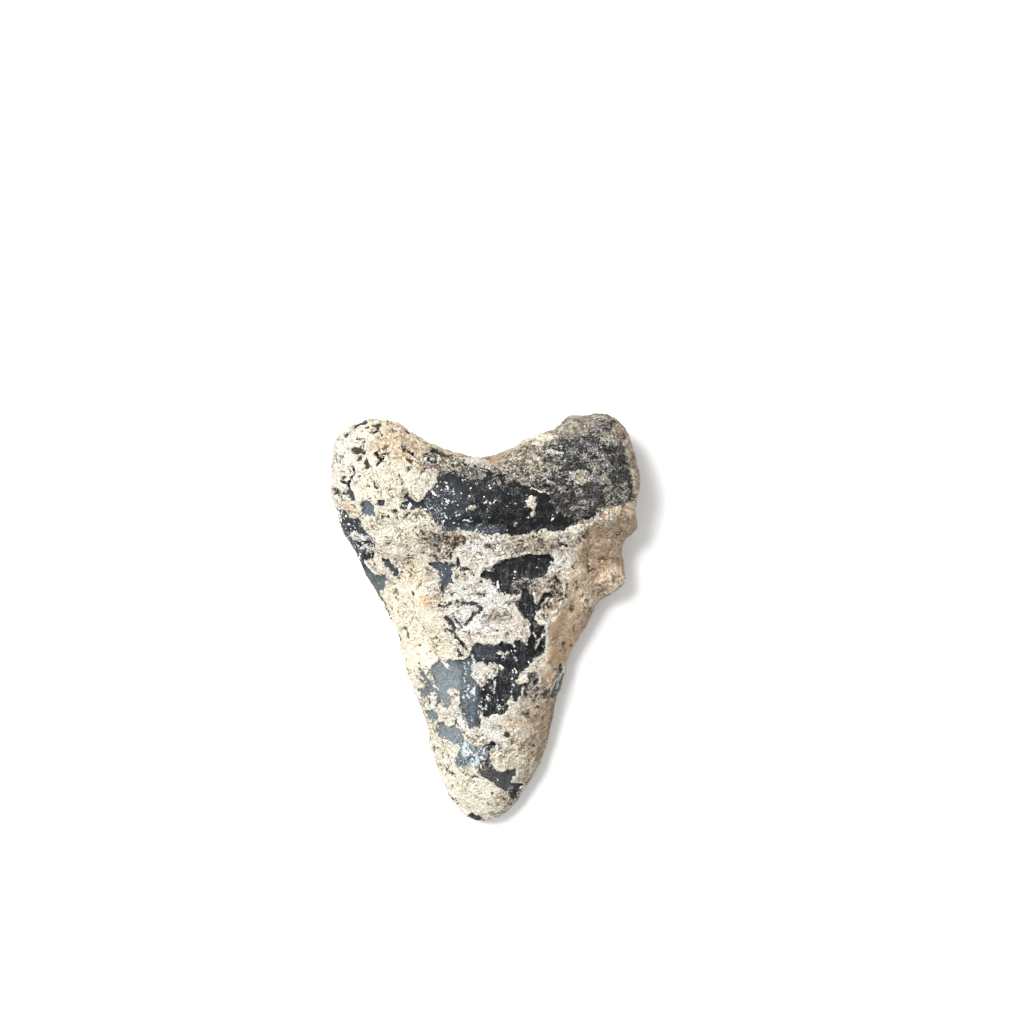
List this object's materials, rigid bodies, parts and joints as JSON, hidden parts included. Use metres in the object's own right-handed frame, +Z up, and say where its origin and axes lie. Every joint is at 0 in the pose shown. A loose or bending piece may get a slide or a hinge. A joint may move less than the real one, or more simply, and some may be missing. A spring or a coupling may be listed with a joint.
{
  "type": "fossil megalodon tooth",
  "caption": "Fossil megalodon tooth with a lobed root and a tapering crown, crusted with dried sea growth, lying on its flat outer face.",
  "frame": {"origin": "on the surface that the tooth lies on, under the middle of its bounding box", "axes": "+Z up out of the domed inner (lingual) face, +Y from the tip towards the root's two lobes, +X towards the side with the crusted flange"},
  "size_m": [0.0662, 0.089, 0.0197],
  "materials": {
    "fossil": "cream to tan chalky crust of dried sea growth, matt and pitted, worn through to satin blue-black fossil enamel and root in ragged patches"
  },
  "bodies": {
    "root": {"tooth": "fossil"}
  },
  "joints": []
}
